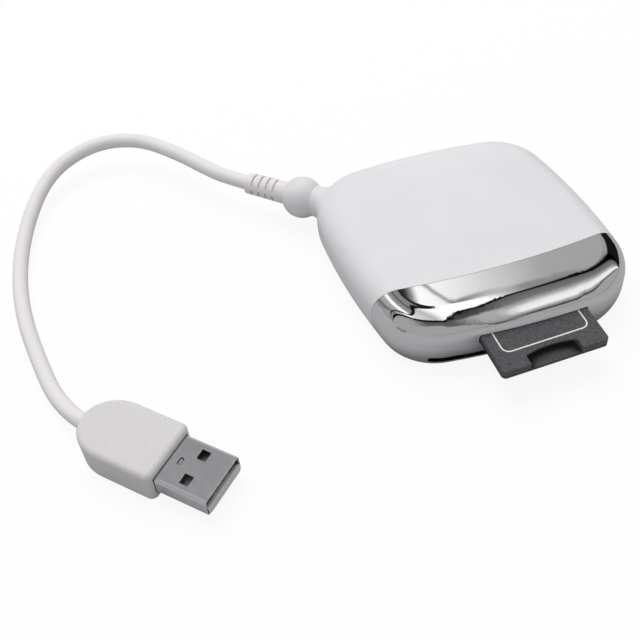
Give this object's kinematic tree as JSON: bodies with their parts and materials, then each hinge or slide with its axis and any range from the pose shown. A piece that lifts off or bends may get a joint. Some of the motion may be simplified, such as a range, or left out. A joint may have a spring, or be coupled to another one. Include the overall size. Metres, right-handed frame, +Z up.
{
  "type": "usb memory card reader",
  "caption": "Flat rounded white card reader with a bright front, card slots, a card adapter in the upper slot, and a short cord with a plug.",
  "frame": {"origin": "middle of the housing's flat underside", "axes": "+Z up from the table, +X along the front to the right as seen from the front, +Y to the back"},
  "size_m": [0.1313, 0.1181, 0.0143],
  "materials": {
    "white_plastic": "slightly glossy moulded",
    "bright_chrome": "polished plating",
    "adapter_plastic": "fine matt moulded",
    "socket_plastic": "matt moulded",
    "sheet_steel": "folded sheet",
    "plug_steel": "tin plated sheet",
    "contact_gold": "gold plated",
    "board_green": "solder mask",
    "chip_black": "moulded package",
    "capacitor_ceramic": "fired block",
    "cord_white": "soft vinyl",
    "grip_white": "moulded vinyl",
    "tongue_plastic": "moulded",
    "lock_plastic": "moulded",
    "wire_red": "insulation",
    "wire_white": "insulation",
    "wire_green": "insulation",
    "wire_black": "insulation"
  },
  "bodies": {
    "reader": {"upper_casing": "white_plastic", "lower_casing": "white_plastic", "front_bezel": "bright_chrome", "circuit_board": "board_green", "casing_screws": "sheet_steel", "controller_chip": "chip_black", "crystal": "sheet_steel", "board_capacitors": "capacitor_ceramic", "upper_socket_frame": "socket_plastic", "upper_socket_shield": "sheet_steel", "upper_socket_contacts": "contact_gold", "lower_socket_frame": "socket_plastic", "lower_socket_shield": "sheet_steel", "lower_socket_contacts": "contact_gold", "adapter_upper_shell": "adapter_plastic", "adapter_lower_shell": "adapter_plastic", "adapter_pads": "contact_gold", "adapter_springs": "contact_gold", "strain_relief": "cord_white", "cord_held_end": "cord_white", "cord": "cord_white", "plug_shell": "plug_steel", "plug_tongue": "tongue_plastic", "plug_contacts": "contact_gold", "plug_grip": "grip_white", "wire_red": "wire_red", "wire_white": "wire_white", "wire_green": "wire_green", "wire_black": "wire_black"},
    "lock_slider": {"adapter_lock_slider": "lock_plastic"}
  },
  "joints": [
    {"name": "lock_slide", "type": "slide", "parent": "reader", "child": "lock_slider", "axis": [0, -1, 0], "range_m": [0, 0.0026]}
  ]
}
